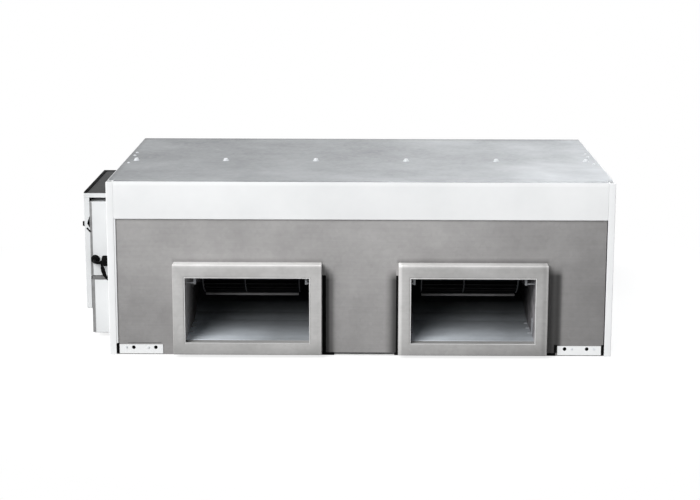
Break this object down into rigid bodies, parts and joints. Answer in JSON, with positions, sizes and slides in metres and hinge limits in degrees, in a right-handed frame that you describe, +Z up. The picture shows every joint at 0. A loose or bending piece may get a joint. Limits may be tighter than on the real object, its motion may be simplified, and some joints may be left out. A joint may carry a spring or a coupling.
{
  "type": "ducted air conditioner",
  "caption": "Flat sheet metal cabinet with flanged supply outlets, blower wheels, sloping coil, side electrical box and sliding return filters.",
  "frame": {"origin": "middle of the cabinet's underside, on its outer face", "axes": "+X to the right as seen from the supply side, -Y out of the supply outlets, +Z up"},
  "size_m": [1.5571, 0.932, 0.51],
  "materials": {
    "white_paint": "satin powder coat",
    "galvanised_sheet": "galvanised, dull",
    "front_sheet": "galvanised, mottled and dull",
    "collar_sheet": "galvanised, light",
    "bright_steel": "bright",
    "motor_paint": "semi-gloss enamel",
    "fin_aluminium": "satin",
    "copper": "drawn copper",
    "brass": "machined",
    "drain_pan_foam": "moulded, matt",
    "black_plastic": "moulded",
    "black_rubber": "matt",
    "grey_felt": "felt",
    "circuit_board": "lacquered",
    "filter_plastic": "moulded"
  },
  "bodies": {
    "cabinet": {"left_side_panel": "white_paint", "right_side_panel": "white_paint", "front_top_rail": "white_paint", "bottom_panel": "galvanised_sheet", "top_panel": "galvanised_sheet", "middle_cross_beam": "galvanised_sheet", "front_panel": "front_sheet", "rear_return_frame": "galvanised_sheet", "front_left_foot_bracket": "white_paint", "front_right_foot_bracket": "white_paint", "rear_left_foot_bracket": "white_paint", "rear_right_foot_bracket": "white_paint", "left_supply_collar": "collar_sheet", "right_supply_collar": "collar_sheet", "left_scroll_wrap": "galvanised_sheet", "left_scroll_outer_side": "galvanised_sheet", "left_scroll_inner_side": "galvanised_sheet", "right_scroll_wrap": "galvanised_sheet", "right_scroll_outer_side": "galvanised_sheet", "right_scroll_inner_side": "galvanised_sheet", "motor_body": "motor_paint", "left_motor_strap": "bright_steel", "right_motor_strap": "bright_steel", "motor_pedestal": "galvanised_sheet", "coil_fin_pack": "fin_aluminium", "coil_left_end_plate": "galvanised_sheet", "coil_right_end_plate": "galvanised_sheet", "drain_pan": "drain_pan_foam", "drain_spigot": "black_plastic", "gas_pipe_and_header": "copper", "liquid_pipe": "copper", "expansion_valve": "brass", "liquid_distributor": "copper", "pipe_grommet_plate": "black_rubber", "control_box": "white_paint", "wiring_cover": "white_paint", "upper_box_hinge": "bright_steel", "lower_box_hinge": "bright_steel", "circuit_board": "circuit_board", "terminal_block": "black_plastic", "run_capacitor": "bright_steel", "transformer": "bright_steel", "box_gland_large": "black_plastic", "box_gland_small": "black_plastic", "side_gland_large": "black_plastic", "side_gland_small": "black_plastic", "motor_cable": "black_rubber", "sensor_cable": "black_rubber", "lower_filter_rail": "galvanised_sheet", "upper_filter_rail": "galvanised_sheet"},
    "fan_rotor": {"left_blower_wheel": "bright_steel", "right_blower_wheel": "bright_steel", "fan_shaft": "bright_steel"},
    "electrical_lid": {"control_box_lid": "white_paint", "lid_felt": "grey_felt", "lid_edge_trim": "black_rubber"},
    "latch": {"lid_latch": "black_plastic"},
    "left_filter_slide": {"left_filter": "filter_plastic"},
    "right_filter_slide": {"right_filter": "filter_plastic"}
  },
  "joints": [
    {"name": "fan_spin", "type": "hinge", "parent": "cabinet", "child": "fan_rotor", "pos_m": [0, -0.19, 0.285], "axis": [1, 0, 0], "continuous": true},
    {"name": "lid_swing", "type": "hinge", "parent": "cabinet", "child": "electrical_lid", "pos_m": [-0.8063, 0.1758, 0.2985], "axis": [0, 0, -1], "range_deg": [0, 110]},
    {"name": "latch_turn", "type": "hinge", "parent": "electrical_lid", "child": "latch", "pos_m": [-0.8226, -0.2235, 0.346], "axis": [1, 0, 0], "range_deg": [-90, 0]},
    {"name": "left_filter_pull", "type": "slide", "parent": "cabinet", "child": "left_filter_slide", "axis": [-1, 0, 0], "range_m": [0, 0.6]},
    {"name": "right_filter_pull", "type": "slide", "parent": "cabinet", "child": "right_filter_slide", "axis": [1, 0, 0], "range_m": [0, 0.6]}
  ]
}
